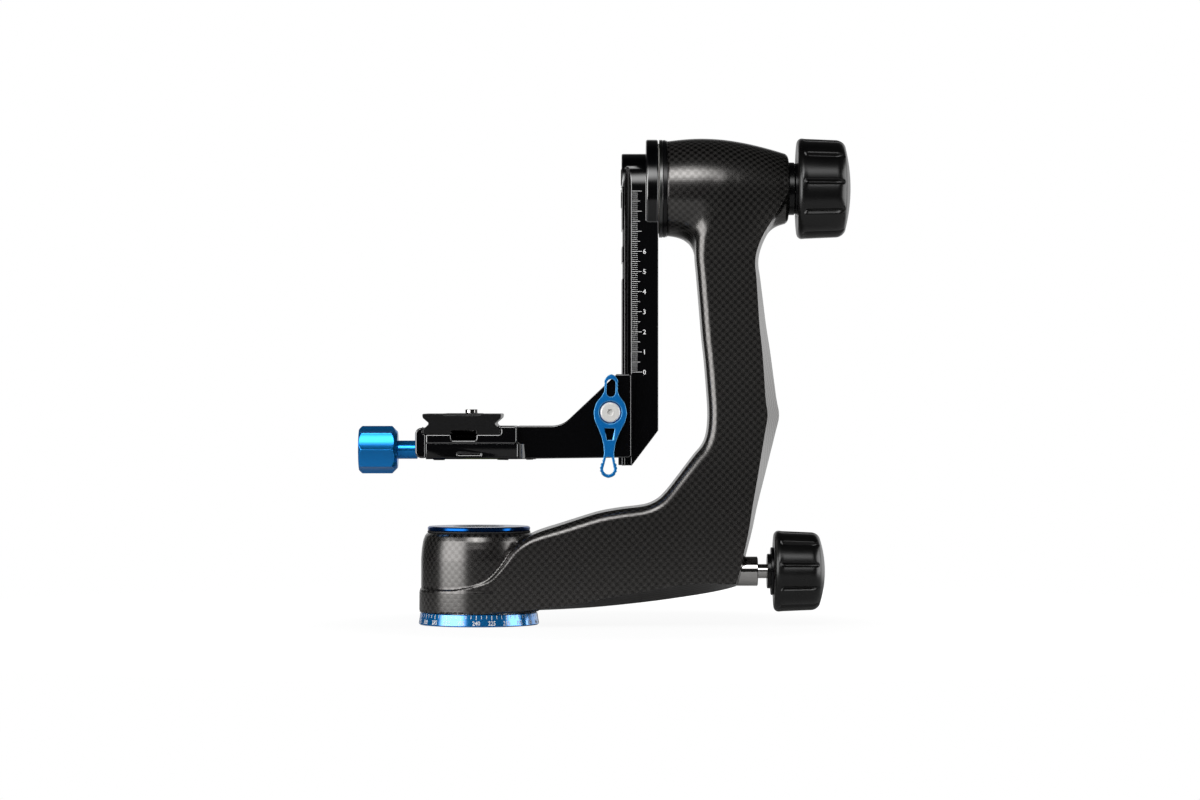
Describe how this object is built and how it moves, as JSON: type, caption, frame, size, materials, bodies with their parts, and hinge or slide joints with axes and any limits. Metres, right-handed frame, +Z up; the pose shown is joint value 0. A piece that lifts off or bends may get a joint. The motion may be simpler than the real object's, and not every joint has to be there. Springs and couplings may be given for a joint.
{
  "type": "gimbal tripod head",
  "caption": "Side-arm gimbal head: a panning hub on a degree dial, a carbon arm, and a tilting rail that carries a sliding bracket with a dovetail camera clamp.",
  "frame": {"origin": "centre of the tripod socket's mouth in the underside of the foot, on the pan axis", "axes": "+Z up along the pan axis, +X towards the side arm along the tilt axis, -Y towards the side with the ruler face and the blue lever"},
  "size_m": [0.2463, 0.0602, 0.2435],
  "materials": {
    "blue_anodised": "anodised bright blue, satin",
    "black_anodised": "anodised black, fine satin",
    "bare_alloy": "machined, clear anodised",
    "steel": "turned, zinc plated",
    "polished_steel": "polished",
    "bearing_steel": "ground",
    "bronze": "turned bronze",
    "carbon": "matte woven carbon fibre",
    "knob_rubber": "smooth moulded rubber",
    "soft_rubber": "fine-textured rubber",
    "friction_fibre": "pressed friction fibre",
    "white_nylon": "nylon",
    "black_plastic": "moulded",
    "level_liquid": "clear yellow-green vial"
  },
  "bodies": {
    "base": {"base_dial": "blue_anodised", "base_pad": "soft_rubber", "tripod_bush": "steel", "pan_spindle": "bare_alloy", "dial_screws": "steel", "pan_lower_inner_race": "bearing_steel", "pan_upper_inner_race": "bearing_steel", "pan_drum": "steel", "spindle_nut": "steel"},
    "arm": {"arm_shell": "carbon", "pan_sleeve": "bare_alloy", "pan_lower_outer_race": "bearing_steel", "pan_upper_outer_race": "bearing_steel", "pan_balls": "bearing_steel", "cap_seal": "soft_rubber", "cap_ring": "blue_anodised", "level_cup": "black_plastic", "level_vial": "level_liquid", "lock_bushing": "polished_steel", "tilt_sleeve": "bare_alloy", "tilt_left_outer_race": "bearing_steel", "tilt_right_outer_race": "bearing_steel", "tilt_balls": "bearing_steel", "trim_ring": "bare_alloy", "hub_ring": "black_anodised", "tilt_neck": "black_anodised"},
    "pan_brake": {"pan_push_rod": "steel", "pan_brake_shoe": "bronze"},
    "pan_knob": {"pan_knob_grip": "knob_rubber", "pan_knob_core": "black_anodised", "pan_knob_stud": "polished_steel"},
    "tilt_brake": {"tilt_pressure_plate": "steel", "tilt_brake_pad": "friction_fibre"},
    "tilt_knob": {"tilt_knob_grip": "knob_rubber", "tilt_knob_core": "black_anodised", "tilt_knob_stud": "polished_steel"},
    "swing": {"swing_rail": "black_anodised", "tilt_shaft": "steel", "tilt_washer": "white_nylon", "tilt_left_inner_race": "bearing_steel", "tilt_right_inner_race": "bearing_steel", "shaft_retainer": "steel", "flange_screws": "steel", "rail_stop": "black_anodised"},
    "bracket": {"bracket_arm": "black_anodised", "jaw_washers": "steel", "clamp_base": "black_anodised", "clamp_base_screws": "steel"},
    "rail_jaw": {"rail_jaw": "black_anodised"},
    "lever": {"lever": "blue_anodised", "lever_screw": "polished_steel", "lever_washer": "white_nylon"},
    "clamp_jaw": {"clamp_jaw": "black_anodised", "clamp_guide_pins": "polished_steel"},
    "clamp_knob": {"clamp_knob": "blue_anodised", "clamp_screw": "steel"},
    "plate": {"qr_plate": "black_anodised", "plate_pad": "soft_rubber"},
    "camera_screw": {"camera_screw": "polished_steel"},
    "d_ring": {"d_ring": "polished_steel"}
  },
  "joints": [
    {"name": "pan", "type": "hinge", "parent": "base", "child": "arm", "pos_m": [0, 0, 0.026], "axis": [0, 0, 1], "continuous": true},
    {"name": "pan_brake_slide", "type": "slide", "parent": "arm", "child": "pan_brake", "axis": [1, 0, 0], "range_m": [0, 0.0015]},
    {"name": "pan_knob_turn", "type": "hinge", "parent": "pan_brake", "child": "pan_knob", "pos_m": [0.16, 0, 0.0266], "axis": [1, 0, 0], "range_deg": [0, 540]},
    {"name": "tilt", "type": "hinge", "parent": "arm", "child": "swing", "pos_m": [0.11, 0, 0.2183], "axis": [1, 0, 0], "continuous": true},
    {"name": "tilt_brake_slide", "type": "slide", "parent": "arm", "child": "tilt_brake", "axis": [1, 0, 0], "range_m": [0, 0.0015]},
    {"name": "tilt_knob_turn", "type": "hinge", "parent": "tilt_brake", "child": "tilt_knob", "pos_m": [0.17, 0, 0.2183], "axis": [1, 0, 0], "range_deg": [0, 540]},
    {"name": "height_slide", "type": "slide", "parent": "swing", "child": "bracket", "axis": [0, 0, 1], "range_m": [0, 0.09]},
    {"name": "rail_jaw_slide", "type": "slide", "parent": "bracket", "child": "rail_jaw", "axis": [0, 1, 0], "range_m": [0, 0.001]},
    {"name": "lever_turn", "type": "hinge", "parent": "bracket", "child": "lever", "pos_m": [0.0658, -0.0255, 0.1063], "axis": [0, -1, 0], "range_deg": [0, 360]},
    {"name": "clamp_jaw_slide", "type": "slide", "parent": "bracket", "child": "clamp_jaw", "axis": [-1, 0, 0], "range_m": [0, 0.005]},
    {"name": "clamp_knob_turn", "type": "hinge", "parent": "clamp_jaw", "child": "clamp_knob", "pos_m": [-0.05, 0, 0.0875], "axis": [-1, 0, 0], "range_deg": [0, 1800]},
    {"name": "plate_slide", "type": "slide", "parent": "bracket", "child": "plate", "axis": [0, 1, 0], "range_m": [-0.01, 0.01]},
    {"name": "camera_screw_turn", "type": "hinge", "parent": "plate", "child": "camera_screw", "pos_m": [-0.0037, 0, 0.1], "axis": [0, 0, 1], "continuous": true},
    {"name": "d_ring_flip", "type": "hinge", "parent": "camera_screw", "child": "d_ring", "pos_m": [-0.0073, 0, 0.0974], "axis": [0, -1, 0], "range_deg": [0, 8]}
  ],
  "couplings": [
    {"joint": "pan_knob_turn", "follows": "pan_brake_slide", "rad_per_m": 6283.2},
    {"joint": "tilt_knob_turn", "follows": "tilt_brake_slide", "rad_per_m": 6283.2},
    {"joint": "lever_turn", "follows": "rail_jaw_slide", "rad_per_m": 6283.2},
    {"joint": "clamp_knob_turn", "follows": "clamp_jaw_slide", "rad_per_m": 6283.2}
  ]
}
